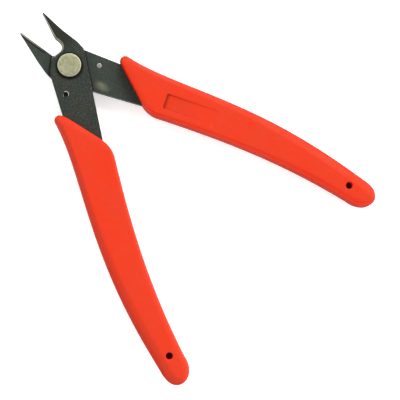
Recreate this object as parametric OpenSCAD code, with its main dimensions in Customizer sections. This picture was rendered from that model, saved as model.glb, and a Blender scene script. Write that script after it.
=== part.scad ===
// Diagonal cutting pliers of the bypass shear kind: two stamped steel levers that cross on one pivot, a wire
// return spring behind them and a moulded grip on each handle. Millimetres. The origin is on the pivot axis,
// in the plane the tool lies on. +Z runs up the pivot to the front face and +Y runs to the jaw tips.
// Levers are drawn at rest, with the jaws sprung open.

/* [Levers] */
// thickness of each lever plate
plate_t = 2.3; // [1.6:0.1:3]
// height of the rear plate's back above the resting plane
rear_z = 2.7; // [2.5:0.05:3.5]
// gap between faces that slide on each other
slide_gap = 0.05; // [0.03:0.01:0.1]
// length of a cutting edge's line, from abreast of the pivot axis to the tip
edge_reach = 19.12; // [15:0.02:22]
// width of each jaw tip
tip_w = 0.6; // [0.4:0.05:1.2]
// thickness a jaw loses from its root to its tip
jaw_taper = 1.0; // [0:0.1:1.4]
// distance of the front jaw's cutting edge from the pivot axis, towards the rear jaw
front_offset = 0.3; // [0:0.05:0.8]
// distance of the rear jaw's cutting edge from the pivot axis, on that same side
rear_offset = 0.55; // [0:0.05:0.8]
// lean of the front jaw's cutting edge at rest, in degrees
front_lean = 15.8; // [14:0.1:18]
// lean of the rear jaw's cutting edge at rest, in degrees
rear_lean = 10.5; // [9:0.1:13]
// reach of the front lever's side of the throat
throat_x = 2.65; // [2:0.05:3]
// distance from the pivot axis to the bottom of the throat
throat_y = 5.6; // [5.2:0.05:6.2]
// width of the ground bevel on the outer face of each jaw
bevel_w = 0.55; // [0.3:0.05:0.8]
// width of the ground land on the sliding face of each jaw
land_w = 0.55; // [0.3:0.05:1]
// depth of the relief behind that land
relief = 0.12; // [0.05:0.01:0.2]

/* [Pivot] */
// radius of the screw's flat disc head
head_r = 3.75; // [3.5:0.05:4.5]
// thickness of that head
head_t = 0.95; // [0.6:0.05:1.4]
// chamfer on the head's rim
head_chamfer = 0.25; // [0.1:0.05:0.4]
// radius of the shoulder both levers turn on
shoulder_r = 2.5; // [2.2:0.05:3]
// radius of the threaded end
thread_r = 1.5; // [1.25:0.05:2]
// size of the nut across its flats
nut_flats = 5.5; // [5:0.1:6]
// thickness of the spring washer
washer_t = 0.7; // [0.5:0.05:0.9]
// outer radius of the spring washer
washer_r = 3.1; // [2.9:0.05:3.4]
// width of the split in the spring washer
washer_split = 0.7; // [0.4:0.05:1]

/* [Return spring] */
// diameter of the spring wire
wire_d = 1.6; // [1:0.05:1.7]
// radial room between the wire and its hole
wire_room = 0.1; // [0.05:0.01:0.15]
// height of the wire's centre line above the resting plane
wire_z = 1.75; // [1.2:0.05:1.85]
// mean radius of the loop round the nut
loop_r = 4.7; // [4.5:0.05:4.9]
// distance from the pivot axis to each wire end
spring_reach = 9.44; // [9:0.02:10]
// angle of each wire end from the -Y axis, in degrees
spring_angle = 50; // [48:0.1:54]
// depth the front wire end stops below the front face
front_end_depth = 1.5; // [0.5:0.1:2]

/* [Grips] */
// thickness of each grip
grip_t = 10; // [9:0.1:11]
// height of the sloped edge between a grip's outer side and its flat faces
edge_z = 4.2; // [3:0.1:4.6]
// width of that sloped edge
edge_w = 3.6; // [2.5:0.1:4.2]
// how straight that slope is: 1 is a quarter of an ellipse and 2 is a flat chamfer
edge_slope = 1.3; // [1:0.05:1.8]
// height of the rounding on a grip's inner side
inner_z = 4.2; // [1:0.1:4.6]
// width of that rounding, which is narrower than the outer side's
inner_w = 1.8; // [1:0.1:3.6]
// height lost at the front end's rim
front_drop = 1.3; // [0.5:0.1:2]
// clearance between a grip and its tang
tang_room = 0.05; // [0.02:0.01:0.1]
// radius of the blind locating hole near each grip's end
pin_r = 1.13; // [1:0.01:1.3]
// length of the blank panel on the rear lever's grip
panel_l = 16.8; // [12:0.1:18]
// width of that panel
panel_w = 5; // [4:0.1:5.4]
// depth of that panel
panel_d = 0.3; // [0.1:0.05:0.5]

/* [Hidden] */
$fn = 96;
sag = 0.008;                                  // how far a chord may stand off its arc
eps = 0.5;                                    // how far a cutter runs past the face it opens
front_z = rear_z + plate_t + slide_gap;       // the front plate's sliding face
front_top = front_z + plate_t;                // the front plate's outer face
head_z = front_top + slide_gap;               // underside of the disc head
washer_z = rear_z - slide_gap - washer_t;     // underside of the washer, top of the nut
shoulder_z = washer_z + washer_t;             // end of the shoulder
bore_r = shoulder_r + 0.05;                   // running bore in both levers
wire_r = wire_d / 2;
spring_hole_r = wire_r + wire_room;
spring_xy = spring_reach * [sin(spring_angle), -cos(spring_angle)];
pin_xy = [39.85, -89.7];                       // centre of a grip's locating hole
front_flank = [6.08, 9.9];                    // corner on the back of the front jaw
rear_flank = [6.45, 8.8];                     // and of the rear jaw
front_wall = [concat(on_edge(-front_offset, front_lean, 9.9), 1.5), [throat_x, 8.5, 1.2],
              [throat_x, throat_y - 0.06, 1.7]];
rear_wall = [[1.68, throat_y - 0.06, 1.2]];   // the rear lever's throat is narrower
bevel_z = 0.25;                               // unbevelled height of a cutting edge
steel = [0.26, 0.28, 0.26];
satin = [0.65, 0.65, 0.55];
rubber = [0.94, 0.2, 0.11];

function unit(v) = v / norm(v);
function turned(v, a) = [v[0] * cos(a) - v[1] * sin(a), v[0] * sin(a) + v[1] * cos(a)];
function arc_steps(r, turn) = max(2, ceil(turn / (2 * acos(1 - sag / max(r, 10 * sag)))));

// the points that round corner b, between neighbours a and c, to radius r (n fixes the number of steps)
function corner(a, b, c, r, n = 0) =
    let (u = unit(a - b), v = unit(c - b), half = acos(u * v) / 2,
         centre = b + unit(u + v) * r / sin(half), p = b + u * r / tan(half) - centre,
         turn = 180 - 2 * half, way = cross(u, v) > 0 ? -1 : 1,
         steps = n > 0 ? n : arc_steps(r, turn))
    [for (i = [0 : steps]) centre + turned(p, way * turn * i / steps)];

// a closed outline from corners [x, y, radius]
function xy(v) = [v[0], v[1]];
function rounded(c, n = 0) =
    [for (i = [0 : len(c) - 1])
        let (a = xy(c[(i + len(c) - 1) % len(c)]), b = xy(c[i]), d = xy(c[(i + 1) % len(c)]))
        each (c[i][2] == 0 ? [b] : corner(a, b, d, c[i][2], n))];

// a point on the Bezier curve of the control points p
function bezier(p, t) =
    len(p) == 1 ? p[0] : bezier([for (i = [0 : len(p) - 2]) p[i] * (1 - t) + p[i + 1] * t], t);

// a point on a cutting edge: off is the edge's distance from the pivot axis, t the distance along it
function on_edge(off, lean, t) =
    [off * cos(lean) + t * sin(lean), t * cos(lean) - off * sin(lean)];

// ---- levers: the jaw leans to +X, the handle runs to -X, and the sliding face is z = 0 ----

// the tang inside a grip, its inner side and then its outer side, from the front to the end
tang_inner = [[-14.4, -34.6, 40], [-28.5, -63.6, 120], [-35.1, -83.2, 60], [-38.0, -94.6, 2.6]];
tang_outer = [[-43.9, -93.2, 2.6], [-40.9, -81.4, 60], [-34.1, -61.4, 120], [-24.7, -40.4, 80],
              [-14.8, -14.8, 30]];

// a lever's outline, from the tip t round by the back of the jaw, with flank the corner on that back
function blank_corners(t, flank) = concat(
    [[t[0] - 1.5, t[1], 0], [t[0] + tip_w, t[1], 0.25], concat(flank, 18), [7.1, 3.8, 10], [7.05, 0.95, 0.5]],
    tang_inner, tang_outer,
    [[-7.28, 0.6, 2], [-6.1, 2.4, 1.5], [-2.15, 5.85, 0.3], [-1.2, throat_y + 1.2, 0]]);

// the space in front of the cutting edge and in the throat, grown by w into the steel; wall holds the
// corners from the cutting edge down to the throat's floor
function void_corners(off, lean, wall, w) = concat(
    [concat(on_edge(off + w, lean, edge_reach + 3), 0)],
    [for (c = wall) [c[0] + w, c[1] - (c[1] < throat_y ? w : 0), c[2] + (c[1] < throat_y ? w : 0)]],
    [[-1.45 - 0.3 * w, throat_y - w + 0.13, 0.8], [-3.6 - 0.5 * w, 7.0 - 0.9 * w, 0],
     [-4, edge_reach + 3, 0]]);

// a solid through rings of equal length, closed at both ends
module lofted(rings) {
    n = len(rings[0]);
    last = len(rings) - 1;
    sides = [for (k = [0 : last - 1], i = [0 : n - 1], half = [0, 1])
        let (a = k * n + i, b = k * n + (i + 1) % n)
        half == 0 ? [a, b, b + n] : [a, b + n, a + n]];
    polyhedron([for (r = rings) each r],
               concat(sides, [[for (i = [n - 1 : -1 : 0]) i]], [[for (i = [0 : n - 1]) last * n + i]]));
}

module edge_cutter(off, lean, wall) {
    depth = plate_t + eps - bevel_z;
    top_w = bevel_w * depth / (plate_t - bevel_z - jaw_taper * 0.5);
    lofted([for (s = [[0, -eps], [0, bevel_z], [top_w, plate_t + eps]])
        [for (p = rounded(void_corners(off, lean, wall, s[0]), 8)) [p[0], p[1], s[1]]]]);
}

module lever(off, lean, flank, wall) {
    tip = on_edge(off, lean, edge_reach);
    taper_from = 7;
    slope = atan(jaw_taper / (tip[1] - taper_from));
    difference() {
        linear_extrude(plate_t)
            polygon(rounded(blank_corners(tip, flank)));
        edge_cutter(off, lean, wall);
        translate([0, 0, -eps])
            cylinder(r = bore_r, h = plate_t + 2 * eps);
        translate([-spring_xy[0], spring_xy[1], -eps])
            cylinder(r = spring_hole_r, h = plate_t + 2 * eps);
        // the jaw thins towards its tip
        translate([-10, taper_from, plate_t])
            rotate([-slope, 0, 0])
                cube([30, 30, 5]);
        // relief behind the ground land on the sliding face
        translate([0, 0, -eps])
            linear_extrude(eps + relief)
                polygon([on_edge(off + land_w, lean, 9.2), on_edge(off + land_w, lean, edge_reach + 3),
                         [12, edge_reach + 3], [12, 9]]);
    }
}

module front_lever() {
    color(steel)
        translate([0, 0, front_z])
            lever(-front_offset, front_lean, front_flank, front_wall);
}

module rear_lever() {
    color(steel)
        translate([0, 0, rear_z + plate_t])
            rotate([0, 180, 0])
                lever(rear_offset, rear_lean, rear_flank, rear_wall);
}

// ---- grips: drawn on the +X side ----

// a grip's sides run along these curves, from the front corner to the tail
inner_side = [[9.4, -31.4], [21.65, -53.2], [29.95, -70.85], [36.45, -93.3]];
outer_side = [[16.0, -10.4], [19.0, -22.7], [27.6, -37.5], [39.1, -55.5], [42.95, -80.8], [45.65, -92.7]];
inner_corner = [16.55, -27.4, 8.2];
outer_corner = [14.3, -10.82, 1.75];
tail = [42.3, -99.55];

function rim_point(c, a) = [c[0] + c[2] * cos(a), c[1] + c[2] * sin(a)];

// one section of a grip across the line from a, on the inner side, to b, with half-height h;
// e turns it from a side's section at 0 to the evenly rounded tail's at 1
function section(a, b, h, e = 0) =
    let (mid = (a + b) / 2, side = unit(b - a), w = norm(b - a) / 2, n = 7,
         in_w = inner_w + (edge_w - inner_w) * e, in_z = inner_z + (edge_z - inner_z) * e,
         fit = min(1, 2 * w / (edge_w + in_w)))
    [for (q = [0 : 3], i = [0 : n])
        let (ang = 90 * q + 90 * i / n, sx = (q == 0 || q == 3) ? 1 : -1, sz = q < 2 ? 1 : -1,
             rw = fit * (sx > 0 ? edge_w : in_w), rh = min(h, sx > 0 ? edge_z : in_z),
             p = sx > 0 ? edge_slope + (1 - edge_slope) * e : 1,
             u = sx * (w - rw + rw * pow(abs(cos(ang)), p)),
             z = grip_t / 2 + sz * (h - rh + rh * pow(abs(sin(ang)), p)))
        [mid[0] + side[0] * u, mid[1] + side[1] * u, z]];

module grip_body() {
    front_angle = 165;                        // way the slanting front face looks
    inner_turn = 44.3;
    outer_turn = 151.5;
    n_front = 8;
    n_side = 30;
    n_tail = 12;
    half_h = grip_t / 2;
    front = [for (i = [0 : n_front])
        let (s = i / n_front)
        section(rim_point(inner_corner, front_angle + inner_turn * s),
                rim_point(outer_corner, front_angle - outer_turn * s),
                half_h - front_drop * pow(1 - s, 3))];
    sides = [for (i = [1 : n_side])
        section(bezier(inner_side, i / n_side), bezier(outer_side, i / n_side), half_h)];
    a_end = inner_side[len(inner_side) - 1];
    b_end = outer_side[len(outer_side) - 1];
    mid = (a_end + b_end) / 2;
    end = [for (i = [1 : n_tail])
        let (s = sin(89.9 * i / n_tail), w = pow(1 - pow(s, 2.35), 1 / 2.35), c = mid + (tail - mid) * s)
        section(c + (a_end - mid) * w, c + (b_end - mid) * w, half_h * pow(1 - pow(s, 3.5), 1 / 3.5), s)];
    lofted(concat(front, sides, end));
}

// a grip at -X, with a pocket for the tang of a lever whose sliding face is at z0
module grip(z0, top) {
    difference() {
        mirror([1, 0, 0])
            grip_body();
        translate([0, 0, z0 - tang_room])
            linear_extrude(plate_t + 2 * tang_room)
                offset(delta = tang_room)
                    polygon(rounded(blank_corners([5, 18], front_flank)));
        translate([-pin_xy[0], pin_xy[1], top])
            cylinder(r = pin_r, h = grip_t - top + eps);
    }
}

module front_grip() {
    color(rubber)
        grip(front_z, front_top);
}

module rear_grip() {
    panel_xy = [18.5, -36.8];
    panel_turn = 28;                          // the panel's long side from the Y axis
    corner_r = 0.6;
    color(rubber)
        difference() {
            mirror([1, 0, 0])
                grip(rear_z, rear_z + plate_t);
            translate([panel_xy[0], panel_xy[1], grip_t - panel_d])
                rotate(panel_turn)
                    linear_extrude(eps + panel_d)
                        polygon(rounded([for (p = [[-1, -1], [1, -1], [1, 1], [-1, 1]])
                            [p[0] * panel_w / 2, p[1] * panel_l / 2, corner_r]]));
        }
}

// ---- pivot ----

module pivot_screw() {
    tip_chamfer = 0.3;
    color(satin)
        rotate_extrude()
            polygon([[0, 0], [thread_r - tip_chamfer, 0], [thread_r, tip_chamfer], [thread_r, shoulder_z],
                     [shoulder_r, shoulder_z], [shoulder_r, head_z], [head_r, head_z],
                     [head_r, head_z + head_t - head_chamfer], [head_r - head_chamfer, head_z + head_t],
                     [0, head_z + head_t]]);
}

module pivot_washer() {
    color(satin)
        difference() {
            translate([0, 0, washer_z])
                cylinder(r = washer_r, h = washer_t);
            translate([0, 0, washer_z - eps])
                cylinder(r = thread_r + 0.15, h = washer_t + 2 * eps);
            translate([0, -washer_split / 2, washer_z - eps])
                cube([washer_r + 1, washer_split, washer_t + 2 * eps]);
        }
}

module pivot_nut() {
    corner_r = nut_flats / 2 / cos(30);
    color(satin)
        difference() {
            intersection() {
                cylinder(r = corner_r, h = washer_z, $fn = 6);
                // corners turned off on the outer face
                cylinder(r1 = nut_flats / 2 + 0.05, r2 = nut_flats / 2 + 0.05 + 2 * washer_z, h = washer_z);
            }
            translate([0, 0, -eps])
                cylinder(r = thread_r + 0.03, h = washer_z + 2 * eps);
        }
}

// ---- return spring ----

// the wire's centre line on the +X side: up from the bottom of its end, out of the hole and round the loop
function half_wire(end_z) =
    let (bend_r = 1.0, reach = norm(spring_xy), out = unit(spring_xy),
         leave = acos(loop_r / reach),        // where the straight leg leaves the loop
         start = atan2(spring_xy[1], spring_xy[0]) + leave,
         tangent = loop_r * [cos(start), sin(start)], leg = unit(tangent - spring_xy))
    concat(
        [[spring_xy[0], spring_xy[1], end_z], [spring_xy[0], spring_xy[1], wire_z + bend_r + 0.1]],
        [for (a = [0 : 15 : 90])
            let (d = bend_r * (1 - cos(a))) concat(spring_xy + leg * d, wire_z + bend_r * (1 - sin(a)))],
        [for (s = [0.3 : 0.175 : 0.9]) concat(spring_xy * (1 - s) + tangent * s, wire_z)],
        [for (i = [0 : 12])
            let (a = start + (90 - start) * i / 12) [loop_r * cos(a), loop_r * sin(a), wire_z]]);

function flip_x(p) = [-p[0], p[1], p[2]];

module return_spring() {
    right = half_wire(rear_z + plate_t);
    left = half_wire(front_top - front_end_depth);
    n = len(left);
    path = concat(right, [for (i = [n - 2 : -1 : 0]) flip_x(left[i])]);
    last = len(path) - 1;
    sides = 14;
    color(satin)
        lofted([for (k = [0 : last])
            let (t = unit(path[min(k + 1, last)] - path[max(k - 1, 0)]),
                 // a direction that never lies along the wire: outwards from the pivot axis
                 o = unit([path[k][0], path[k][1], 0]), v = unit(cross(t, o)), u = cross(v, t))
            [for (i = [0 : sides - 1])
                let (a = 360 * i / sides)
                path[k] + wire_r * (u * cos(a) + v * sin(a))]]);
}

front_lever();
rear_lever();
front_grip();
rear_grip();
pivot_screw();
pivot_washer();
pivot_nut();
return_spring();
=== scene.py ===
"""Looks for the diagonal cutting pliers: a shear cutter with two black levers, a disc-headed pivot, a wire
return spring and two moulded grips. Meshes are built in millimetres and scaled to metres at the end."""

import math

import bmesh
import bpy
import numpy as np
from mathutils import Matrix, Vector


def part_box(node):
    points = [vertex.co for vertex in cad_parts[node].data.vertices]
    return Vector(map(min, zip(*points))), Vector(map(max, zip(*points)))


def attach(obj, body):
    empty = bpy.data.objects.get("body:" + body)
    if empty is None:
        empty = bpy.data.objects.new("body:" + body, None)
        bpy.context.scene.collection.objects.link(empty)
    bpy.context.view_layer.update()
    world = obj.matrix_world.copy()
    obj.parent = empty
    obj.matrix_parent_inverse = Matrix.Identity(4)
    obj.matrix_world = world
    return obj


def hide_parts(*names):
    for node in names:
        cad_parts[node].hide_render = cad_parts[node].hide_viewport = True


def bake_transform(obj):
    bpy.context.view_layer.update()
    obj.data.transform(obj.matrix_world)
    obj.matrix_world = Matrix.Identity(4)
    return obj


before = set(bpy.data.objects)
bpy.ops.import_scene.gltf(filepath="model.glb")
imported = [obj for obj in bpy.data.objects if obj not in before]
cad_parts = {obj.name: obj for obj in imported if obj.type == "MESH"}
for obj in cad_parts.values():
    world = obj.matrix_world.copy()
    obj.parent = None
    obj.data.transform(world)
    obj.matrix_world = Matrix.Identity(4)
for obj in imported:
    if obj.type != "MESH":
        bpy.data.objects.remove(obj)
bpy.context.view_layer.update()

MM = 0.001
PLATE_EASE = 0.07         # edge break on the stamped levers
SMOOTH_ANGLE = 32         # edges sharper than this, in degrees, stay sharp in the shading
SOFT_ANGLE = 40           # the same on the moulded grips and the wire


def box_mm(node):
    """Lowest and highest corner of a CAD node, in millimetres."""
    return [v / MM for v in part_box(node)]


# ---------------------------------------------------------------- mesh helpers

def to_object(name, bm):
    """A new object in the scene from a bmesh in millimetres, with its faces turned outwards."""
    mesh = bpy.data.meshes.new(name)
    bmesh.ops.recalc_face_normals(bm, faces=bm.faces)
    bm.to_mesh(mesh)
    bm.free()
    obj = bpy.data.objects.new(name, mesh)
    bpy.context.scene.collection.objects.link(obj)
    return obj


def skin(rings):
    """A closed bmesh through rings of points of equal length, capped at the first and the last."""
    bm = bmesh.new()
    rows = [[bm.verts.new(p) for p in ring] for ring in rings]
    n = len(rows[0])
    for a, b in zip(rows, rows[1:]):
        for i in range(n):
            j = (i + 1) % n
            bm.faces.new((a[i], a[j], b[j], b[i]))
    bm.faces.new(rows[0])
    bm.faces.new(rows[-1])
    return bm


def finish_mesh(obj, sharp=SMOOTH_ANGLE):
    """Scales a finished mesh to metres and smooths its shading up to its real edges."""
    mesh = obj.data
    mesh.transform(Matrix.Scale(MM, 4))
    mesh.shade_smooth()
    mesh.set_sharp_from_angle(angle=math.radians(sharp))
    modifier = obj.modifiers.new("face_weighted_normals", "WEIGHTED_NORMAL")
    modifier.keep_sharp = True


def cut(obj, cutters):
    """Cuts each cutter out of obj, and removes the cutters."""
    for cutter in cutters:
        modifier = obj.modifiers.new("cut", "BOOLEAN")
        modifier.operation = "DIFFERENCE"
        modifier.solver = "EXACT"
        modifier.object = cutter
    graph = bpy.context.evaluated_depsgraph_get()
    graph.update()
    made = bpy.data.meshes.new_from_object(obj.evaluated_get(graph), depsgraph=graph)
    obj.modifiers.clear()
    old = obj.data
    obj.data = made
    bpy.data.meshes.remove(old)
    for cutter in cutters:
        bpy.data.objects.remove(cutter)


def arc(centre, radius, start, end, steps):
    """Points on an arc from start to end, in degrees."""
    angles = [math.radians(start + (end - start) * i / steps) for i in range(steps + 1)]
    return [(centre[0] + radius * math.cos(a), centre[1] + radius * math.sin(a)) for a in angles]


def lathe(profile, segments, place=(0, 0), radius_at=None):
    """A closed solid of revolution from (r, z) points that start and end on the axis.
    radius_at(r, z, angle) may change a radius, for flats or a thread."""
    change = radius_at or (lambda r, z, angle: r)
    bm = bmesh.new()
    rows = []
    for r, z in profile:
        if r < 1e-6:
            rows.append([bm.verts.new((place[0], place[1], z))])
            continue
        row = []
        for i in range(segments):
            angle = 2 * math.pi * i / segments
            radius = change(r, z, angle)
            x, y = place[0] + radius * math.cos(angle), place[1] + radius * math.sin(angle)
            row.append(bm.verts.new((x, y, z)))
        rows.append(row)
    for a, b in zip(rows, rows[1:]):
        for i in range(segments):
            j = (i + 1) % segments
            if len(a) == 1:
                bm.faces.new((a[0], b[j], b[i]))
            elif len(b) == 1:
                bm.faces.new((a[i], a[j], b[0]))
            else:
                bm.faces.new((a[i], a[j], b[j], b[i]))
    return bm


# ---------------------------------------------------------------- material helpers

class Look:
    """A node material under construction. Its methods add nodes and give back an output socket. A mask is a
    value from 0 to 1 over the surface."""

    def __init__(self, name):
        self.material = bpy.data.materials.new(name)
        self.material.use_nodes = True
        self.tree = self.material.node_tree
        self.tree.nodes.clear()
        out = self.tree.nodes.new("ShaderNodeOutputMaterial")
        self.shader = self.tree.nodes.new("ShaderNodeBsdfPrincipled")
        self.tree.links.new(self.shader.outputs[0], out.inputs[0])
        place = self.tree.nodes.new("ShaderNodeTexCoord")
        self.mm = self.vector("SCALE", place.outputs["Object"], scale=1 / MM)
        self.normal = place.outputs["Normal"]

    def put(self, socket, value):
        """Links value to a socket if it is a socket itself, and else sets it there."""
        if isinstance(value, bpy.types.NodeSocket):
            self.tree.links.new(value, socket)
        else:
            socket.default_value = value

    def vector(self, operation, a, b=None, scale=None):
        node = self.tree.nodes.new("ShaderNodeVectorMath")
        node.operation = operation
        self.put(node.inputs[0], a)
        if b is not None:
            self.put(node.inputs[1], b)
        if scale is not None:
            self.put(node.inputs["Scale"], scale)
        return node.outputs["Value" if operation in ("LENGTH", "DOT_PRODUCT", "DISTANCE") else "Vector"]

    def math(self, operation, a, b=0.0):
        node = self.tree.nodes.new("ShaderNodeMath")
        node.operation = operation
        self.put(node.inputs[0], a)
        self.put(node.inputs[1], b)
        return node.outputs[0]

    def times(self, first, *others):
        """The product of masks and numbers."""
        for other in others:
            first = self.math("MULTIPLY", first, other)
        return first

    def above(self, value, level):
        """A mask that is 1 where value is over level."""
        return self.math("GREATER_THAN", value, level)

    def below(self, value, level):
        """A mask that is 1 where value is under level."""
        return self.math("LESS_THAN", value, level)

    def plan(self):
        """The place on the surface with its height left out."""
        return self.vector("MULTIPLY", self.mm, (1.0, 1.0, 0.0))

    def off_line(self, plan, direction, distance):
        """How far the surface is, in plan, from the line square to direction, at distance from the pivot."""
        reach = self.vector("DOT_PRODUCT", plan, direction)
        return self.math("ABSOLUTE", self.math("SUBTRACT", reach, distance))

    def axis(self, vector, name):
        node = self.tree.nodes.new("ShaderNodeSeparateXYZ")
        self.put(node.inputs[0], vector)
        return node.outputs[name]

    def join(self, x, y, z):
        node = self.tree.nodes.new("ShaderNodeCombineXYZ")
        for socket, value in zip(node.inputs, (x, y, z)):
            self.put(socket, value)
        return node.outputs[0]

    def noise(self, scale, detail=2.0, rough=0.5, at=None, stretch=None, warp=0.0):
        """Noise with scale features to the millimetre."""
        where = at or self.mm
        if stretch is not None:
            where = self.vector("MULTIPLY", where, stretch)
        node = self.tree.nodes.new("ShaderNodeTexNoise")
        self.put(node.inputs["Vector"], where)
        node.inputs["Scale"].default_value = scale
        node.inputs["Detail"].default_value = detail
        node.inputs["Roughness"].default_value = rough
        node.inputs["Distortion"].default_value = warp
        return node.outputs["Fac"]

    def span(self, value, low, high, to_low=0.0, to_high=1.0):
        """value eased from low..high to to_low..to_high, and held at both ends."""
        node = self.tree.nodes.new("ShaderNodeMapRange")
        node.interpolation_type = "SMOOTHSTEP"
        node.clamp = True
        self.put(node.inputs["Value"], value)
        for key, number in (("From Min", low), ("From Max", high), ("To Min", to_low), ("To Max", to_high)):
            node.inputs[key].default_value = number
        return node.outputs["Result"]

    def blend(self, share, a, b):
        """Colour a at share 0 and b at share 1."""
        node = self.tree.nodes.new("ShaderNodeMix")
        node.data_type = "RGBA"
        self.put(node.inputs["Factor"], share)
        for socket, value in ((node.inputs[6], a), (node.inputs[7], b)):
            self.put(socket, value if isinstance(value, bpy.types.NodeSocket) else (*value, 1.0))
        return node.outputs[2]

    def bump(self, height, depth_mm, under=None):
        """A bump where height 0..1 stands depth_mm proud."""
        node = self.tree.nodes.new("ShaderNodeBump")
        node.inputs["Strength"].default_value = 1.0
        node.inputs["Distance"].default_value = depth_mm * MM
        self.put(node.inputs["Height"], height)
        if under is not None:
            self.put(node.inputs["Normal"], under)
        return node.outputs[0]

    def attribute(self, name):
        node = self.tree.nodes.new("ShaderNodeAttribute")
        node.attribute_name = name
        return node.outputs["Fac"]

    def facing_up(self):
        """How far the true surface looks up or down, 0 on a side wall."""
        node = self.tree.nodes.new("ShaderNodeNewGeometry")
        return self.math("ABSOLUTE", self.axis(node.outputs["True Normal"], "Z"))

    def shade(self, **sockets):
        """Sets or links the shader's sockets, named in lower case, and gives back the finished material."""
        for key, value in sockets.items():
            name = {"specular_ior_level": "Specular IOR Level"}.get(key, key.replace("_", " ").title())
            self.put(self.shader.inputs[name], value)
        return self.material


def dress(obj, material):
    """Gives an object its only material."""
    obj.data.materials.clear()
    obj.data.materials.append(material)


# ---------------------------------------------------------------- places the looks and the shapes share

GRIP_Z = [corner.z for corner in box_mm("front_grip")]
HALF_H = (GRIP_Z[1] - GRIP_Z[0]) / 2
GRIP_MID = GRIP_Z[0] + HALF_H
PIN_XY, PIN_R = (39.85, -89.7), 1.13     # the locating hole in each grip, drawn on the +X side
PLATES_MEET = box_mm("rear_lever")[1].z  # the rear lever's upper face, which the front lever slides over
WIRE_Z = 1.75                            # height of the return spring's centre line, under the levers
WIRE_REACH = 9.44                        # the levers' holes for the wire from the pivot
WIRE_TURN = math.radians(50)             # and their direction, from the -Y axis to either side
SMALL_HOLE = (-WIRE_REACH * math.sin(WIRE_TURN), -WIRE_REACH * math.cos(WIRE_TURN))   # the front lever's
PANEL_XY = (18.5, -36.8, 0.0)            # centre of the sunk panel on the rear lever's grip
PANEL_TURN = math.radians(28)            # its long side from the Y axis
PANEL_SIZE = (5.0, 16.8)                 # its width and length
PANEL_WIDE = (math.cos(PANEL_TURN), math.sin(PANEL_TURN), 0.0)
PANEL_LONG = (-math.sin(PANEL_TURN), math.cos(PANEL_TURN), 0.0)

# straight marks on the levers: the direction square to the mark in plan, and its distance from the pivot
FRONT_DARK_LINE = ((0.962, -0.272, 0.0), 0.50)
REAR_DARK_LINE = ((-0.983, -0.182, 0.0), 1.36)
SHOULDER_SHADOW = ((-0.658, 0.753, 0.0), 5.82)
LONG_EDGE_SHADOW = ((0.856, -0.517, 0.0), 5.545)
RUB_AT = (3.20, -11.6, 0.0)              # centre of the rubbed patch


# ---------------------------------------------------------------- materials

def rubber_look():
    """Red moulded elastomer: matt, a fine mould grain, slow drifts of hue and faint handling scuffs."""
    look = Look("grip_rubber")
    x, z = (look.axis(look.mm, name) for name in "XZ")
    top = GRIP_Z[1]
    drift = look.noise(0.11, 2.0, 0.5)
    mottle = look.noise(0.75, 3.0, 0.6)
    grain = look.noise(5.5, 3.0, 0.65)
    scuff = look.noise(1.1, 4.0, 0.7, stretch=(0.35, 0.12, 1.0), warp=0.6)
    red = look.blend(look.span(drift, 0.35, 0.65), (0.500, 0.0285, 0.0092), (0.476, 0.0320, 0.0125))
    red = look.blend(look.span(mottle, 0.42, 0.75, 0.0, 0.35), red, (0.532, 0.0360, 0.0135))
    red = look.blend(look.span(grain, 0.45, 0.30, 0.0, 0.12), red, (0.330, 0.0170, 0.0065))

    # painted shade and light: the outer edges' slopes are a deeper red, the inner roundings a brighter one,
    # the side walls deepest
    level = look.math("ABSOLUTE", look.axis(look.normal, "Z"))
    outward = look.times(look.axis(look.normal, "X"), look.math("SIGN", x))
    # painted shade on the outer edges' slopes
    painted_edge_shade = look.times(look.span(level, 0.85, 0.35, 0.0, 0.9), look.span(outward, 0.0, 0.3))
    red = look.blend(painted_edge_shade, red, (0.390, 0.0150, 0.0020))
    # painted light on the inner roundings
    painted_inner_light = look.times(look.span(level, 0.99, 0.86), look.span(outward, 0.0, -0.12))
    red = look.blend(painted_inner_light, red, (0.610, 0.0280, 0.0080))
    # painted shade on the side walls, either side of the mid-plane
    off_middle = look.math("ABSOLUTE", look.math("SUBTRACT", z, GRIP_MID))
    red = look.blend(look.span(off_middle, 4.0, 2.2), red, (0.375, 0.0150, 0.0022))

    # painted shade against the front wall of the sunk panel, fading out along its floor
    half_wide, half_long = PANEL_SIZE[0] / 2, PANEL_SIZE[1] / 2
    from_panel = look.vector("SUBTRACT", look.mm, PANEL_XY)
    along = look.vector("DOT_PRODUCT", from_panel, PANEL_LONG)
    across = look.math("ABSOLUTE", look.vector("DOT_PRODUCT", from_panel, PANEL_WIDE))
    in_panel = look.times(look.span(across, half_wide + 0.10, half_wide - 0.02),
                          look.span(along, half_long + 0.16, half_long),
                          look.span(z, top, top - 0.05), look.above(z, top - 1.0))
    packed = look.span(along, half_long - 1.3, half_long - 0.2, 0.0, 0.62)
    thin = look.times(look.span(along, -half_long, half_long, 0.0, 0.16), look.span(mottle, 0.35, 0.6))
    panel_shade = look.times(look.math("ADD", packed, thin), in_panel)
    red = look.blend(panel_shade, red, (0.200, 0.0150, 0.0050))

    # painted shade, darker towards the bottom of the front grip's locating hole
    from_pin = look.vector("DISTANCE", look.plan(), (-PIN_XY[0], PIN_XY[1], 0.0))
    hole_shade = look.times(look.below(from_pin, PIN_R + 0.05), look.above(z, top - 4.0),
                         look.span(z, top - 0.8, top - 2.2, 0.0, 0.85))
    red = look.blend(hole_shade, red, (0.060, 0.0050, 0.0020))

    rough = look.span(scuff, 0.35, 0.75, 0.46, 0.60)
    rough = look.math("ADD", rough, look.span(grain, 0.3, 0.7, -0.04, 0.04))
    normal = look.bump(mottle, 0.030, look.bump(grain, 0.010))
    return look.shade(base_color=red, roughness=rough, normal=normal, specular_ior_level=0.04)


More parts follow.
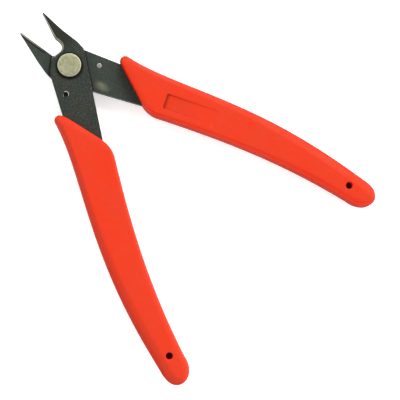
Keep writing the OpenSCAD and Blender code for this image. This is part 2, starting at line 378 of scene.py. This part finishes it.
def rear_lever_marks(look, steel, plan, patch):
    """The rear lever's steel is cleaner than the front one's. Its upper face has a rubbed brown patch, and
    painted shadows beside the front lever's shoulder and beside that lever's long edge."""
    x, z = (look.axis(look.mm, name) for name in "XZ")
    rear = look.below(z, PLATES_MEET + 0.025)    # half way across the gap between the levers
    steel = look.blend(look.times(rear, 0.48), steel, (0.0270, 0.0350, 0.0280))
    face = look.times(rear, look.above(z, PLATES_MEET - 0.4))

    from_rub = look.vector("SUBTRACT", plan, RUB_AT)
    rub_long = look.vector("DOT_PRODUCT", from_rub, (0.17, -0.57, 0.0))
    rub_wide = look.vector("DOT_PRODUCT", from_rub, (1.05, 0.32, 0.0))
    rub_out = look.vector("LENGTH", look.join(rub_long, rub_wide, 0.0))
    rub = look.times(look.span(rub_out, 2.1, 0.3), look.span(patch, 0.25, 0.65, 0.55, 1.0), face, 0.95)
    steel = look.blend(rub, steel, (0.1000, 0.1100, 0.0680))

    # painted shadow cast by the front lever's shoulder onto the rear jaw
    off_shoulder = look.off_line(plan, *SHOULDER_SHADOW)
    shoulder_shadow = look.times(look.span(off_shoulder, 1.05, 0.65), face, look.span(x, 0.0, -1.0))
    steel = look.blend(shoulder_shadow, steel, (0.0020, 0.0022, 0.0018))

    # painted shadow beside the front lever's long edge
    off_edge = look.off_line(plan, *LONG_EDGE_SHADOW)
    edge_shadow = look.times(look.span(off_edge, 0.62, 0.38), face, 0.85)
    return look.blend(edge_shadow, steel, (0.0040, 0.0044, 0.0036))


def oxide_look():
    """Black-oxide stamped steel: ground edges, sheared side walls, rubbed corners, oil and a painted contact
    shadow round the disc.
    """
    look = Look("black_oxide_steel")
    x, y, z = (look.axis(look.mm, name) for name in "XYZ")
    plan = look.plan()
    cloud = look.noise(0.33, 3.0, 0.55)
    patch = look.noise(1.3, 3.0, 0.6, warp=0.4)
    speck = look.noise(2.3, 3.0, 0.75)
    grain = look.noise(9.0, 3.0, 0.7)
    rolled = look.noise(2.6, 3.0, 0.6, stretch=(1.0, 0.09, 1.0))
    steel = look.blend(look.span(cloud, 0.36, 0.64), (0.0110, 0.0172, 0.0138), (0.0163, 0.0185, 0.0120))
    steel = look.blend(look.span(patch, 0.46, 0.70, 0.0, 0.5), steel, (0.0225, 0.0275, 0.0208))
    steel = look.blend(look.span(speck, 0.51, 0.66, 0.0, 0.7), steel, (0.0460, 0.0520, 0.0400))
    steel = look.blend(look.span(speck, 0.48, 0.37, 0.0, 0.8), steel, (0.0040, 0.0045, 0.0030))
    steel = look.blend(look.span(grain, 0.58, 0.78, 0.0, 0.25), steel, (0.0500, 0.0500, 0.0430))
    rough = look.span(patch, 0.3, 0.7, 0.42, 0.58)

    # the front lever's jaw is darker and browner
    darker_jaw = look.times(look.span(y, 2.0, 9.5), look.span(x, 0.0, 1.0), 0.90)
    steel = look.blend(darker_jaw, steel, (0.0052, 0.0046, 0.0008))

    # a dark ring round the disc, wider towards the front lever's grip, away from the light: painted contact
    # shadow, with oil that makes it glossier
    to_grip = look.span(look.math("ADD", x, y), 3.0, -5.0, 0.0, 0.35)
    ring_reach = look.math("SUBTRACT", look.vector("LENGTH", plan), to_grip)
    ring_reach = look.math("SUBTRACT", ring_reach, look.span(patch, 0.3, 0.7, -0.15, 0.25))
    oil_and_shadow = look.span(ring_reach, 4.50, 4.05)
    steel = look.blend(oil_and_shadow, steel, (0.0022, 0.0022, 0.0006))
    rough = look.math("SUBTRACT", rough, look.times(oil_and_shadow, 0.10))

    steel = rear_lever_marks(look, steel, plan, patch)

    # a dark line behind each ground edge
    front_line = look.times(look.span(look.off_line(plan, *FRONT_DARK_LINE), 0.36, 0.20), look.above(x, 0.0))
    rear_line = look.times(look.span(look.off_line(plan, *REAR_DARK_LINE), 0.36, 0.20), look.below(x, 0.0))
    dark_lines = look.times(look.math("MAXIMUM", front_line, rear_line), look.span(y, 7.5, 9.5), 0.95)
    steel = look.blend(dark_lines, steel, (0.0020, 0.0018, 0.0010))

    # sheared walls of the stamping: upright striations
    wall = look.span(look.facing_up(), 0.55, 0.35)
    shear = look.noise(4.0, 2.0, 0.5, stretch=(3.0, 3.0, 0.12))
    torn = look.blend(look.span(shear, 0.42, 0.66), (0.0065, 0.0075, 0.0060), (0.0240, 0.0240, 0.0190))
    steel = look.blend(wall, steel, torn)

    # corners rubbed bright in dots, fainter on the +X +Y side of the jaws and on the rear lever
    far_side = look.vector("DOT_PRODUCT", plan, (0.7, 0.7, 0.0))
    dots = look.times(look.span(speck, 0.46, 0.58), look.attribute("corner"),
                      look.span(far_side, 5.0, 2.0, 0.2, 0.85),
                      look.span(z, PLATES_MEET - 0.1, PLATES_MEET + 0.1, 0.35, 1.0))
    steel = look.blend(dots, steel, (0.270, 0.280, 0.240))

    # painted highlight: the bare steel wall of the wire's hole in the front lever, brighter on its +X side
    # only
    from_hole = look.vector("DISTANCE", plan, (*SMALL_HOLE, 0.0))
    wall_highlight = look.times(look.span(from_hole, 1.04, 0.98),
                        look.span(x, SMALL_HOLE[0] + 0.05, SMALL_HOLE[0] + 0.4),
                        look.above(z, PLATES_MEET + 0.5), 0.95)
    steel = look.blend(wall_highlight, steel, (0.42, 0.42, 0.37))

    # ground edges of the jaws: fine lines across the edge, beige at the throat and grey towards the tips
    ground = look.math("MAXIMUM", look.span(x, 0.9, 2.1), look.span(y, 8.5, 15.5))
    ground = look.times(ground, look.attribute("ground"))
    lines = look.noise(3.5, 2.0, 0.6, stretch=(1.0, 4.0, 1.0))
    keen = look.span(y, 7.5, 14.0)
    dull = look.blend(keen, (0.090, 0.090, 0.058), (0.110, 0.110, 0.090))
    bright = look.blend(keen, (0.245, 0.255, 0.168), (0.320, 0.325, 0.272))
    bright = look.blend(look.span(lines, 0.35, 0.65), dull, bright)
    base = look.blend(ground, steel, bright)

    height = look.math("ADD", look.times(grain, 0.5), look.times(rolled, 0.5))
    normal = look.bump(speck, 0.02, look.bump(height, 0.012))
    normal = look.bump(look.times(shear, wall), 0.03, normal)
    normal = look.bump(look.times(lines, ground), 0.008, normal)
    return look.shade(base_color=base, roughness=rough, metallic=look.times(ground, 0.5), normal=normal,
                      specular_ior_level=0.25)


def disc_look():
    """Satin plated pivot head: faint turning rings, small stains and a brighter rim."""
    look = Look("pivot_steel")
    radius = look.vector("LENGTH", look.plan())
    rings = look.noise(9.0, 2.0, 0.6, at=look.join(radius, 0.0, 0.0))
    stain = look.noise(0.8, 4.0, 0.62, warp=0.5)
    pits = look.noise(7.0, 2.0, 0.7)
    base = look.blend(look.span(stain, 0.36, 0.66), (0.355, 0.355, 0.208), (0.485, 0.485, 0.322))
    base = look.blend(look.span(pits, 0.36, 0.28, 0.0, 0.5), base, (0.20, 0.195, 0.120))
    base = look.blend(look.span(radius, 3.2, 3.7, 0.0, 0.25), base, (0.52, 0.52, 0.38))
    rough = look.span(rings, 0.3, 0.7, 0.34, 0.50)
    normal = look.bump(pits, 0.010, look.bump(rings, 0.006))
    return look.shade(base_color=base, roughness=rough, metallic=1.0, normal=normal)


def wire_look():
    """Bright drawn spring wire: fine lines along the wire."""
    look = Look("spring_steel")
    node = look.tree.nodes.new("ShaderNodeUVMap")
    node.uv_map = "along_wire"
    along = look.vector("MULTIPLY", node.outputs[0], (0.35, 18.0, 1.0))
    drawn = look.noise(1.6, 3.0, 0.6, at=along)
    spots = look.noise(2.2, 3.0, 0.6)
    base = look.blend(look.span(drawn, 0.35, 0.65), (0.36, 0.37, 0.33), (0.60, 0.61, 0.55))
    base = look.blend(look.span(spots, 0.58, 0.72, 0.0, 0.5), base, (0.20, 0.18, 0.14))
    # painted shade: the end that stops short inside the front lever's hole is darkened to near black
    x, z = (look.axis(look.mm, name) for name in "XZ")
    end_shade = look.times(look.span(x, -6.1, -6.4, 0.0, 0.92),
                      look.span(z, PLATES_MEET - 0.1, PLATES_MEET + 0.3))
    base = look.blend(end_shade, base, (0.010, 0.010, 0.008))
    rough = look.span(drawn, 0.3, 0.7, 0.26, 0.42)
    return look.shade(base_color=base, roughness=rough, metallic=1.0, normal=look.bump(drawn, 0.006))


def floor_look():
    """Pale matt studio paper with the faintest tooth, lit a little from behind as on a light table."""
    look = Look("studio_paper")
    tooth = look.noise(1.5, 3.0, 0.6)
    paper = look.blend(look.span(tooth, 0.3, 0.7), (0.77, 0.77, 0.765), (0.79, 0.79, 0.785))
    return look.shade(base_color=paper, roughness=0.9, normal=look.bump(tooth, 0.02),
                      emission_color=(1.0, 1.0, 1.0, 1.0), emission_strength=0.45)


# ---------------------------------------------------------------- grips

# each side of a grip runs along a Bezier curve from the front corner to the tail, drawn on the +X side
INNER_SIDE = [(9.4, -31.4), (21.65, -53.2), (29.95, -70.85), (36.45, -93.3)]
OUTER_SIDE = [(16.0, -10.4), (19.0, -22.7), (27.6, -37.5), (39.1, -55.5), (42.95, -80.8), (45.65, -92.7)]
INNER_CORNER = (16.55, -27.4, 8.2)       # centre and radius of the front end's round on the inner side
OUTER_CORNER = (14.3, -10.82, 1.75)      # and on the outer side
FRONT_ANGLE = 165                        # where both rounds start, in degrees
INNER_TURN, OUTER_TURN = 44.3, 151.5     # and how far each goes round to meet its side
TAIL = (42.3, -99.55)                    # the far end of the tail
OUTER_EDGE = (3.6, 4.2)                  # width and height of the sloped edge on the outer side
INNER_EDGE = (1.8, 4.2)                  # and of the narrower rounding on the inner side
OUTER_SLOPE = 1.3                        # 1 is a quarter of an ellipse, 2 a flat chamfer
FRONT_DROP = 1.3                         # how far each face falls to the front end
CLEAR = 0.5                              # how far a cutter stands out of the face that it opens
PARTING_OUT = 0.045                      # how far the parting line stands out of the sides
# its section, from the lower side of the mid-plane to the upper: height, and share of PARTING_OUT
PARTING_SECTION = ((-0.09, 0.0), (-0.045, 0.75), (0.0, 1.0), (0.045, 0.75), (0.09, 0.0))


def bezier(points, t):
    """The point at t, from 0 to 1, on a Bezier curve with any number of control points."""
    points = [np.array(p, float) for p in points]
    while len(points) > 1:
        points = [a * (1 - t) + b * t for a, b in zip(points, points[1:])]
    return points[0]


def rim_point(corner, degrees):
    """A point on the round at a front corner, given as x, y and radius."""
    angle = math.radians(degrees)
    return np.array([corner[0] + corner[2] * math.cos(angle), corner[1] + corner[2] * math.sin(angle)])


def grip_section(a, b, half_h, even=0.0):
    """One ring across the line from a, on the inner side, to b: sloped outer edges, rounded inner ones, flat
    faces and a fine parting line on each side. even turns it from a side's section to the tail's."""
    round_steps, flat_steps = 12, 6
    mid, width = (a + b) / 2, np.linalg.norm(b - a) / 2
    across = (b - a) / max(np.linalg.norm(b - a), 1e-9)
    inner = [i + (o - i) * even for i, o in zip(INNER_EDGE, OUTER_EDGE)]
    fit = min(1.0, 2 * width / (OUTER_EDGE[0] + inner[0]))
    slope = OUTER_SLOPE + (1 - OUTER_SLOPE) * even
    edges = {1: (fit * OUTER_EDGE[0], min(half_h, OUTER_EDGE[1]), slope),
             -1: (fit * inner[0], min(half_h, inner[1]), 1.0)}

    def rounded(sx, sz, degrees):
        edge_w, edge_h, power = edges[sx]
        angle = math.radians(degrees)
        return (sx * (width - edge_w + edge_w * abs(math.cos(angle)) ** power),
                sz * (half_h - edge_h + edge_h * abs(math.sin(angle)) ** power))

    outline = []
    corners = [(1, 1), (-1, 1), (-1, -1), (1, -1)]
    for q, (sx, sz) in enumerate(corners):
        outline += [rounded(sx, sz, 90 * q + 90 * i / round_steps) for i in range(round_steps + 1)]
        next_sx, next_sz = corners[(q + 1) % 4]
        last, following = outline[-1], rounded(next_sx, next_sz, 90 * (q + 1))
        on_face = q % 2 == 0
        if on_face:
            gap = (following[0] - last[0], following[1] - last[1])
            for i in range(1, flat_steps):
                t = i / flat_steps
                outline.append((last[0] + gap[0] * t, last[1] + gap[1] * t))
        else:
            reach = min(1, half_h, width)    # the line shrinks with the section at the tip of the tail
            for z, out in PARTING_SECTION:
                up = z if next_sz > 0 else -z
                outline.append((last[0] + math.copysign(PARTING_OUT * out * reach, last[0]), up * reach))
    return [(mid[0] + across[0] * u, mid[1] + across[1] * u, GRIP_MID + z) for u, z in outline]


def grip_solid():
    """The rear lever's grip as a lofted solid: round the front end, along the two sides, round the tail."""
    front_steps, side_steps, tail_steps = 26, 130, 34
    tail_width, tail_height = 2.35, 3.5      # powers of the tail's rounding: 2 is an ellipse, more is squarer
    last_angle = 89.7                        # just short of the tip, so that the last ring keeps a size
    rings = []
    for i in range(front_steps):
        s = i / front_steps
        rings.append(grip_section(rim_point(INNER_CORNER, FRONT_ANGLE + INNER_TURN * s),
                                  rim_point(OUTER_CORNER, FRONT_ANGLE - OUTER_TURN * s),
                                  HALF_H - FRONT_DROP * (1 - s) ** 3))
    for i in range(side_steps + 1):
        t = i / side_steps
        rings.append(grip_section(bezier(INNER_SIDE, t), bezier(OUTER_SIDE, t), HALF_H))
    a_end, b_end, tail = np.array(INNER_SIDE[-1]), np.array(OUTER_SIDE[-1]), np.array(TAIL)
    mid = (a_end + b_end) / 2
    for i in range(1, tail_steps + 1):
        s = math.sin(math.radians(last_angle * i / tail_steps))
        w = (1 - s ** tail_width) ** (1 / tail_width)
        c = mid + (tail - mid) * s
        rings.append(grip_section(c + (a_end - mid) * w, c + (b_end - mid) * w,
                                  HALF_H * (1 - s ** tail_height) ** (1 / tail_height), even=s))
    return skin(rings)


def packed_shape(node, merge):
    """The mesh that was packed for a node, in millimetres, with points nearer than merge joined."""
    bm = bmesh.new()
    bm.from_mesh(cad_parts[node].data)
    bmesh.ops.scale(bm, vec=(1 / MM,) * 3, verts=bm.verts)
    bmesh.ops.remove_doubles(bm, verts=bm.verts, dist=merge)
    return bm


def pocket_cutter(lever_node):
    """The lever as packed, grown by a hair: what it cuts out of a grip is the pocket for its tang."""
    room = 0.02
    bm = packed_shape(lever_node, 0.002)
    bmesh.ops.recalc_face_normals(bm, faces=bm.faces)
    bm.normal_update()
    moves = [(v, v.normal * room * v.calc_shell_factor()) for v in bm.verts]
    for v, move in moves:
        v.co += move
    return to_object("cutter_pocket", bm)


def hole_cutter(side, tang_top):
    """The blind locating hole, ending in a thin skin over the tang, with a rounded mouth."""
    lip, lip_turn, over_tang, flare = 0.16, 78, 0.25, 0.25
    mouth = [(PIN_R + lip - p[0], p[1]) for p in arc((0, GRIP_Z[1] - lip), lip, 0, lip_turn, 6)]
    profile = [(0, tang_top + over_tang), (PIN_R, tang_top + over_tang)] + mouth
    profile += [(mouth[-1][0] + flare, GRIP_Z[1] + CLEAR), (0, GRIP_Z[1] + CLEAR)]
    return to_object("cutter_hole", lathe(profile, 64, (side * PIN_XY[0], PIN_XY[1])))


def panel_cutter():
    """The blank sunk panel on the rear lever's grip: deepest at its front end, nearly flush at the other."""
    corner_r, corner_steps, flare = 0.6, 8, 0.35
    deep, shallow = 0.45, 0.07
    top = GRIP_Z[1]
    # the wall's section from the floor up: how far the outline has grown, and the share of the depth climbed
    wall = ((-0.10, 0.0), (-0.05, 0.05), (-0.015, 0.18), (0.0, 0.40),
            (0.02, 0.65), (0.07, 0.86), (0.16, 0.985))

    def ring(grow, share):
        points = []
        for q, (sx, sy) in enumerate([(1, 1), (-1, 1), (-1, -1), (1, -1)]):
            for i in range(corner_steps + 1):
                a = math.radians(90 * q + 90 * i / corner_steps)
                x = sx * (PANEL_SIZE[0] / 2 - corner_r) + (corner_r + grow) * math.cos(a)
                y = sy * (PANEL_SIZE[1] / 2 - corner_r) + (corner_r + grow) * math.sin(a)
                depth = shallow + (deep - shallow) * (y / PANEL_SIZE[1] + 0.5)
                points.append((PANEL_XY[0] + x * PANEL_WIDE[0] + y * PANEL_LONG[0],
                               PANEL_XY[1] + x * PANEL_WIDE[1] + y * PANEL_LONG[1],
                               top - depth * (1 - share)))
        return points

    rings = [ring(grow, share) for grow, share in wall]
    rings.append([(p[0], p[1], top + CLEAR) for p in ring(wall[-1][0] + flare, 1.0)])
    return to_object("cutter_panel", skin(rings))


def grip(name, node, lever_node, body, side, look):
    """A grip on one side of the tool: side is -1 for the front lever's and +1 for the rear lever's."""
    bm = grip_solid()
    if side < 0:
        bmesh.ops.scale(bm, vec=(-1, 1, 1), verts=bm.verts)
    obj = to_object(name, bm)
    cutters = [pocket_cutter(lever_node), hole_cutter(side, box_mm(lever_node)[1].z)]
    if side > 0:
        cutters.append(panel_cutter())
    cut(obj, cutters)
    finish_mesh(obj, sharp=SOFT_ANGLE)
    dress(obj, look)
    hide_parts(node)
    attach(obj, body)


# ---------------------------------------------------------------- levers

def lever(name, node, body, up, look):
    """A stamped lever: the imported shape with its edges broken, except the keen ones, and its ground faces
    marked. up is 1 for the front lever, whose bevel looks up, and -1 for the rear one, whose looks down."""
    low, high = box_mm(node)
    sliding = low.z if up > 0 else high.z    # the face that slides on the other lever
    land_from, bevel_from, edge_from = 9.3, 4.5, 7.5    # where along the jaw each ground face starts
    bm = packed_shape(node, 0.025)
    bmesh.ops.dissolve_limit(bm, angle_limit=math.radians(0.8), verts=bm.verts, edges=bm.edges)
    bmesh.ops.bisect_plane(bm, geom=bm.verts[:] + bm.edges[:] + bm.faces[:], plane_co=(0, land_from, 0),
                           plane_no=(0, 1, 0))
    bmesh.ops.recalc_face_normals(bm, faces=bm.faces)
    bm.normal_update()
    # ground are the land, a strip of the sliding face, the slope of the bevel, and the low wall between them
    ground = bm.faces.layers.float.new("ground")
    for face in bm.faces:
        centre, n = face.calc_center_median(), face.normal
        off_sliding = abs(centre.z - sliding)
        on_land = off_sliding < 0.03 and abs(n.z) > 0.9 and centre.y > land_from
        on_bevel = 0.15 < n.z * up < 0.7 and centre.y > bevel_from and n.x * up < 0.5
        on_edge = abs(n.z) < 0.1 and n.x * up < -0.5 and centre.y > edge_from and off_sliding < 0.3
        face[ground] = 1.0 if on_land or on_bevel or on_edge else 0.0
    sharp = [e for e in bm.edges if e.is_manifold and e.calc_face_angle() > math.radians(28)
             and not all(f[ground] > 0.5 for f in e.link_faces)]
    corner = bm.faces.layers.float.new("corner")
    eased = bmesh.ops.bevel(bm, geom=sharp, offset=PLATE_EASE, offset_type="OFFSET", segments=2, profile=0.5,
                            affect="EDGES", clamp_overlap=True, material=-1)
    for face in eased["faces"]:
        face[corner] = 1.0
    obj = to_object(name, bm)
    finish_mesh(obj)
    dress(obj, look)
    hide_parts(node)
    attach(obj, body)


# ---------------------------------------------------------------- pivot

def pivot_screw(look):
    """Disc head, shoulder and an M3 end, in one lathe pass with a cut thread."""
    low, high = box_mm("pivot_screw")
    head_r, head_t, chamfer, soft = high.x, 0.95, 0.25, 0.06
    shoulder_r, shoulder_z = 2.5, 2.65       # the shoulder's radius and the height of its lower end
    thread_r, end_chamfer = 1.5, 0.3
    pitch, depth, flank = 0.5, 0.15, 0.42    # flank is each side of the groove, as a share of the pitch
    thread_top, run_out = shoulder_z - 0.1, 0.3    # the groove fades out over this height
    under = high.z - head_t

    def threaded(r, z, angle):
        if r > thread_r + 0.01 or r < thread_r - end_chamfer - 0.05 or z > thread_top:
            return r
        turn = (z / pitch - angle / (2 * math.pi)) % 1.0
        groove = max(0.0, 1 - abs(turn - 0.5) / flank)
        return r - depth * groove * min(1.0, (thread_top - z) / run_out)

    profile = [(0, low.z), (thread_r - end_chamfer, low.z)]
    steps, last_ring = 44, shoulder_z - 0.05
    for i in range(steps + 1):
        z = low.z + (last_ring - low.z) * i / steps
        profile.append((min(thread_r, thread_r - end_chamfer + z - low.z), z))
    profile += [(thread_r, shoulder_z), (shoulder_r - soft, shoulder_z), (shoulder_r, shoulder_z + soft),
                (shoulder_r, under), (head_r - soft, under)]
    profile += arc((head_r - soft, under + soft), soft, -90, 0, 3)[1:]
    chamfer_z, chamfer_r = high.z - chamfer, head_r - chamfer
    profile += arc((head_r - soft, chamfer_z - 0.02), soft, 0, 45, 3)
    profile += arc((chamfer_r - 0.02, high.z - soft), soft, 45, 90, 3)
    profile += [(head_r * s, high.z) for s in (0.8, 0.55, 0.25)] + [(0, high.z)]
    obj = to_object("pivot_disc_screw", lathe(profile, 160, radius_at=threaded))
    finish_mesh(obj)
    dress(obj, look)
    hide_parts("pivot_screw")
    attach(obj, "front_half")


def pivot_nut(look):
    """Hexagon nut with its corners turned off on the outer face and a countersunk bore."""
    low, high = box_mm("pivot_nut")
    flat_r, bore, countersink = 2.75, 1.53, 0.25
    turned_r, turned_slope = flat_r + 0.05, 1.9    # the cone that turns the corners off the outer face
    corner_r, rim, rim_slope = flat_r + 0.62, 0.06, 1.5    # and the corners' easing at the inner face
    # heights of the rings over the outer face, close together where the cone meets the flats
    heights = [0, 0.04, 0.09, 0.14, 0.19, 0.25, 0.32, 0.5, 1.0, 1.5]

    def six_sided(r, z, angle):
        if r < flat_r - 0.4:
            return r
        off_flat = (math.degrees(angle) + 30) % 60 - 30
        hexagon = flat_r / math.cos(math.radians(off_flat))
        turned = turned_r + turned_slope * (z - low.z)
        eased = corner_r - max(0.0, z - (high.z - rim)) * rim_slope
        return min(hexagon, turned, eased)

    profile = [(bore + countersink, low.z), (flat_r - 0.02, low.z)]
    profile += [(flat_r, low.z + h) for h in heights] + [(flat_r, high.z - rim), (flat_r, high.z)]
    profile += [(bore, high.z), (bore, low.z + countersink)]
    bm = lathe(profile + [profile[0]], 144, radius_at=six_sided)
    bmesh.ops.remove_doubles(bm, verts=bm.verts, dist=1e-4)
    obj = to_object("hexagon_nut", bm)
    finish_mesh(obj, sharp=24)
    dress(obj, look)
    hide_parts("pivot_nut")
    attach(obj, "front_half")


def pivot_washer(look):
    """Split spring washer, its wire section rounded at the corners."""
    low, high = box_mm("pivot_washer")
    inner, outer, split, soft = 1.65, 3.1, 0.7, 0.08
    section = []
    for cx, cz, start in ((outer - soft, high.z - soft, 0), (inner + soft, high.z - soft, 90),
                          (inner + soft, low.z + soft, 180), (outer - soft, low.z + soft, 270)):
        section += arc((cx, cz), soft, start, start + 90, 3)
    rings = []
    steps = 110
    for i in range(steps + 1):
        ring = []
        for r, z in section:
            gap = math.asin(min(1.0, split / 2 / r))
            angle = gap + (2 * math.pi - 2 * gap) * i / steps
            ring.append((r * math.cos(angle), r * math.sin(angle), z))
        rings.append(ring)
    obj = to_object("split_washer", skin(rings))
    finish_mesh(obj)
    dress(obj, look)
    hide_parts("pivot_washer")
    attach(obj, "front_half")


# ---------------------------------------------------------------- return spring

def half_wire(end_z):
    """The wire's centre line on the +X side: out of its hole, along the straight leg and round the loop."""
    loop_r, bend_r = 4.7, 1.0
    broken = (0.0, 0.06, 0.14)               # heights of the broken end's rings, from the end
    straight_points, loop_steps = 14, 32
    towards = WIRE_TURN - math.pi / 2
    end = WIRE_REACH * np.array([math.cos(towards), math.sin(towards)])
    start = towards + math.acos(loop_r / WIRE_REACH)
    tangent = loop_r * np.array([math.cos(start), math.sin(start)])
    leg = (tangent - end) / np.linalg.norm(tangent - end)

    line = [(*end, end_z - z) for z in broken]
    bend_top = WIRE_Z + bend_r
    rise = end_z - broken[-1] - bend_top
    line += [(*end, bend_top + rise * s) for s in (0.66, 0.33, 0.0)]
    for degrees in range(9, 91, 9):
        a = math.radians(degrees)
        on_bend = end + leg * (bend_r * (1 - math.cos(a)))
        line.append((*on_bend, WIRE_Z + bend_r * (1 - math.sin(a))))
    first = end + leg * bend_r
    line += [(*(first + (tangent - first) * s), WIRE_Z) for s in np.linspace(0.06, 0.94, straight_points)]
    for i in range(loop_steps + 1):
        a = start + (math.pi / 2 - start) * i / loop_steps
        line.append((loop_r * math.cos(a), loop_r * math.sin(a), WIRE_Z))
    return line


def return_spring(look):
    """One length of wire from hole to hole, swept round with its ends broken."""
    wire_r, sides = 0.8, 28
    front_end_depth = 1.5                    # how far the front end stops below its lever's upper face
    broken_r = {0: 0.82, 1: 0.955}           # share of the radius on the first two rings from an end
    right = half_wire(box_mm("rear_lever")[1].z)
    left = half_wire(box_mm("front_lever")[1].z - front_end_depth)
    # the left half is mirrored and goes back from the loop, where the two halves share one point
    path = [np.array(p) for p in right] + [np.array((-p[0], p[1], p[2])) for p in left[-2::-1]]
    last = len(path) - 1
    rings, lengths = [], [0.0]
    for k, p in enumerate(path):
        along = path[min(k + 1, last)] - path[max(k - 1, 0)]
        along = along / np.linalg.norm(along)
        out = np.array([p[0], p[1], 0.0])
        v = np.cross(along, out / np.linalg.norm(out))
        v = v / np.linalg.norm(v)
        u = np.cross(v, along)
        r = wire_r * broken_r.get(min(k, last - k), 1.0)
        rings.append([tuple(p + r * (u * math.cos(a) + v * math.sin(a)))
                      for a in (2 * math.pi * i / sides for i in range(sides))])
        if k:
            lengths.append(lengths[-1] + float(np.linalg.norm(p - path[k - 1])))
    bm = skin(rings)
    bm.verts.ensure_lookup_table()

    # u is the length along the wire and v the turn round it, up to 1 on the face that closes the ring
    uv = bm.loops.layers.uv.new("along_wire")
    for face in bm.faces:
        turn = [loop.vert.index % sides for loop in face.loops]
        wraps = len(face.verts) == 4 and max(turn) - min(turn) > 1
        for loop, i in zip(face.loops, turn):
            round_wire = (i + sides if wraps and i == 0 else i) / sides
            loop[uv].uv = (lengths[loop.vert.index // sides], round_wire)
    obj = to_object("return_spring_wire", bm)
    finish_mesh(obj, sharp=SOFT_ANGLE)
    dress(obj, look)
    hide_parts("return_spring")
    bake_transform(obj)


# ---------------------------------------------------------------- stage, light and camera

def stage_floor():
    """A wide sheet of paper, a hair below the tool."""
    half, gap, steps = 12.0, 0.02 * MM, 8
    bm = bmesh.new()
    marks = [half * (2 * i / steps - 1) for i in range(steps + 1)]
    grid = [[bm.verts.new((x, y, -gap)) for x in marks] for y in marks]
    for j in range(steps):
        for i in range(steps):
            bm.faces.new((grid[j][i], grid[j][i + 1], grid[j + 1][i + 1], grid[j + 1][i]))
    mesh = bpy.data.meshes.new("studio_floor")
    bm.to_mesh(mesh)
    bm.free()
    obj = bpy.data.objects.new("studio_floor", mesh)
    bpy.context.scene.collection.objects.link(obj)
    obj.data.materials.append(floor_look())


def studio_light():
    """A white tent, open above, brightest half way up and towards +X and +Y, with one soft key from there."""
    brightest, bright_side, dark_side = 2.5, 1.28, 0.50
    towards = Vector((0.95, 0.31, 0.0))
    key_strength, key_spread, key_from = 1.5, math.radians(25), Vector((0.68, 0.26, 0.68))
    # height up the tent, 0 at the horizon and 1 overhead, and its share of the full brightness there
    stops = [(0.0, 0.42), (0.10, 0.42), (0.38, 1.0), (0.72, 1.0), (0.94, 0.08)]
    world = bpy.data.worlds.new("studio")
    world.use_nodes = True
    nodes, links = world.node_tree.nodes, world.node_tree.links

    def ranged(value, low, high, to_low, to_high):
        node = nodes.new("ShaderNodeMapRange")
        links.new(value, node.inputs["Value"])
        for key, number in (("From Min", low), ("From Max", high), ("To Min", to_low), ("To Max", to_high)):
            node.inputs[key].default_value = number
        return node.outputs["Result"]

    def combined(operation, a, b):
        node = nodes.new("ShaderNodeMath")
        node.operation = operation
        links.new(a, node.inputs[0])
        if isinstance(b, float):
            node.inputs[1].default_value = b
        else:
            links.new(b, node.inputs[1])
        return node.outputs[0]

    place = nodes.new("ShaderNodeTexCoord").outputs["Generated"]
    split = nodes.new("ShaderNodeSeparateXYZ")
    links.new(place, split.inputs[0])
    height = split.outputs["Z"]
    sideways = nodes.new("ShaderNodeVectorMath")
    sideways.operation = "DOT_PRODUCT"
    links.new(place, sideways.inputs[0])
    sideways.inputs[1].default_value = towards
    side = ranged(sideways.outputs["Value"], -1.0, 1.0, dark_side - 1.0, bright_side - 1.0)
    side = combined("MULTIPLY", side, ranged(height, 0.10, 0.35, 0.0, 1.0))
    side = combined("ADD", side, 1.0)

    tent = nodes.new("ShaderNodeValToRGB")
    tent.color_ramp.interpolation = "EASE"
    ramp = tent.color_ramp.elements
    while len(ramp) < len(stops):
        ramp.new(0.5)
    for stop, (level, share) in zip(ramp, stops):
        stop.position = level
        stop.color = (share, share, share, 1.0)
    links.new(height, tent.inputs["Fac"])
    links.new(tent.outputs["Color"], nodes["Background"].inputs["Color"])
    links.new(combined("MULTIPLY", side, brightest), nodes["Background"].inputs["Strength"])
    bpy.context.scene.world = world

    data = bpy.data.lights.new("key", "SUN")
    data.energy = key_strength
    data.angle = key_spread
    key = bpy.data.objects.new("key", data)
    bpy.context.scene.collection.objects.link(key)
    key.rotation_mode = "QUATERNION"
    key.rotation_quaternion = key_from.to_track_quat("Z", "Y")
    bpy.context.scene.view_settings.view_transform = "Standard"


def camera():
    """The eye stands over the tool, a little to its left, with the jaws to the upper left of the frame."""
    look_at = Vector((1.484, -60.267, 5.0)) * MM
    back = Vector((-0.0886, 0.0191, 1.0)).normalized()    # from the tool towards the eye
    distance = 0.3077
    roll = math.radians(-43.026)             # of the frame's upright from the Y axis
    data = bpy.data.cameras.new("camera")
    data.sensor_width = 36.0
    data.lens = 85.25
    data.clip_start, data.clip_end = 0.01, 20.0
    obj = bpy.data.objects.new("camera", data)
    bpy.context.scene.collection.objects.link(obj)
    up = Vector((-math.sin(roll), math.cos(roll), 0.0))
    right = up.cross(back).normalized()
    up = back.cross(right)
    turn = Matrix((right, up, back)).transposed().to_4x4()
    obj.matrix_world = Matrix.Translation(look_at + back * distance) @ turn
    bpy.context.scene.camera = obj


# ---------------------------------------------------------------- the tool

camera()
studio_light()
stage_floor()
rubber, oxide, disc, wire = rubber_look(), oxide_look(), disc_look(), wire_look()
lever("front_lever_blank", "front_lever", "front_half", 1, oxide)
lever("rear_lever_blank", "rear_lever", "rear_half", -1, oxide)
grip("front_grip_moulding", "front_grip", "front_lever", "front_half", -1, rubber)
grip("rear_grip_moulding", "rear_grip", "rear_lever", "rear_half", 1, rubber)
pivot_screw(disc)
pivot_nut(disc)
pivot_washer(disc)
return_spring(wire)
